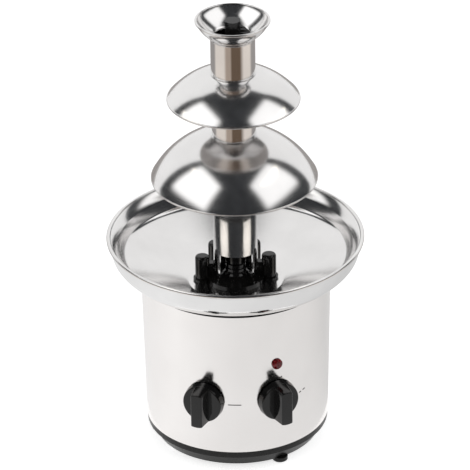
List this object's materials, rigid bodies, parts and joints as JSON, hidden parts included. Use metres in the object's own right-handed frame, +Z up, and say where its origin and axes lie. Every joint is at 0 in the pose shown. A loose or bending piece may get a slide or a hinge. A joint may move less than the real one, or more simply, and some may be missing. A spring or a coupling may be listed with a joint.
{
  "type": "chocolate fountain",
  "caption": "Tabletop chocolate fountain: heated steel basin on a drum housing, with a lift-off tiered tower, a screw auger, a geared motor drive and turning knobs.",
  "frame": {"origin": "on the floor under the feet, on the axis of the tower", "axes": "+Z up along the tower, -Y towards the knobs, +X to the right seen from the front"},
  "size_m": [0.23, 0.23, 0.4119],
  "materials": {
    "polished_steel": "mirror-polished stainless steel",
    "satin_steel": "satin stainless steel",
    "drum_steel": "fine satin stainless steel",
    "black_gloss": "glossy black plastic",
    "black_base": "satin black plastic",
    "rubber_seal": "matte",
    "red_lens": "clear red, faceted",
    "dark_resin": "moulded resin",
    "zinc_steel": "zinc plated",
    "cast_aluminium": "cast",
    "laminated_iron": "laminated",
    "brass": "machined"
  },
  "bodies": {
    "base": {"tower_seat": "black_gloss", "seat_screws": "zinc_steel", "shaft_seal": "rubber_seal", "basin_bowl": "satin_steel", "basin_apron": "polished_steel", "basin_seal": "rubber_seal", "housing_drum": "drum_steel", "base_pan": "black_base", "feet": "black_base", "foot_screws": "zinc_steel", "drum_brackets": "zinc_steel", "pan_screws": "zinc_steel", "heater_ring": "cast_aluminium", "heater_clamp": "zinc_steel", "bracket_studs": "zinc_steel", "bracket_spacers": "zinc_steel", "bracket_nuts": "zinc_steel", "thermal_cutout": "dark_resin", "gear_cover": "zinc_steel", "gear_case": "cast_aluminium", "gear_case_screws": "zinc_steel", "upper_bush": "brass", "lower_bush": "brass", "motor_can": "zinc_steel", "motor_stator": "laminated_iron", "motor_bushes": "brass", "motor_screws": "zinc_steel", "motor_switch": "dark_resin", "motor_switch_nut": "zinc_steel", "heat_control": "dark_resin", "heat_control_nut": "zinc_steel", "indicator_lens": "red_lens", "indicator_holder": "dark_resin", "terminal_block": "dark_resin", "terminal_screws": "brass", "cord_gland": "black_base", "gland_nut": "black_base"},
    "tower": {"crown_cup": "satin_steel", "upper_tube": "polished_steel", "upper_tier": "satin_steel", "middle_tube": "polished_steel", "lower_tier": "satin_steel", "lower_tube": "polished_steel"},
    "auger": {"auger_screw": "black_gloss", "auger_hub": "black_gloss"},
    "drive": {"drive_shaft": "zinc_steel", "drive_gear": "brass"},
    "rotor": {"motor_rotor": "laminated_iron", "motor_shaft": "zinc_steel", "motor_pinion": "brass"},
    "motor_knob": {"motor_knob": "black_gloss", "motor_knob_shaft": "zinc_steel"},
    "heat_knob": {"heat_knob": "black_gloss", "heat_knob_shaft": "zinc_steel"}
  },
  "joints": [
    {"name": "drive_spin", "type": "hinge", "parent": "base", "child": "drive", "pos_m": [0, 0, 0.1], "axis": [0, 0, 1], "continuous": true},
    {"name": "rotor_spin", "type": "hinge", "parent": "base", "child": "rotor", "pos_m": [0, 0.024, 0.08], "axis": [0, 0, 1], "continuous": true},
    {"name": "auger_lift", "type": "slide", "parent": "drive", "child": "auger", "axis": [0, 0, 1], "range_m": [0, 0.25]},
    {"name": "tower_lift", "type": "slide", "parent": "base", "child": "tower", "axis": [0, 0, 1], "range_m": [0, 0.26]},
    {"name": "motor_knob_turn", "type": "hinge", "parent": "base", "child": "motor_knob", "pos_m": [-0.03205, -0.07663, 0.073], "axis": [0.3859, 0.9225, 0], "range_deg": [0, 90]},
    {"name": "heat_knob_turn", "type": "hinge", "parent": "base", "child": "heat_knob", "pos_m": [0.03205, -0.07663, 0.073], "axis": [-0.3859, 0.9225, 0], "range_deg": [0, 90]}
  ],
  "couplings": [
    {"joint": "rotor_spin", "follows": "drive_spin", "ratio": -3}
  ]
}
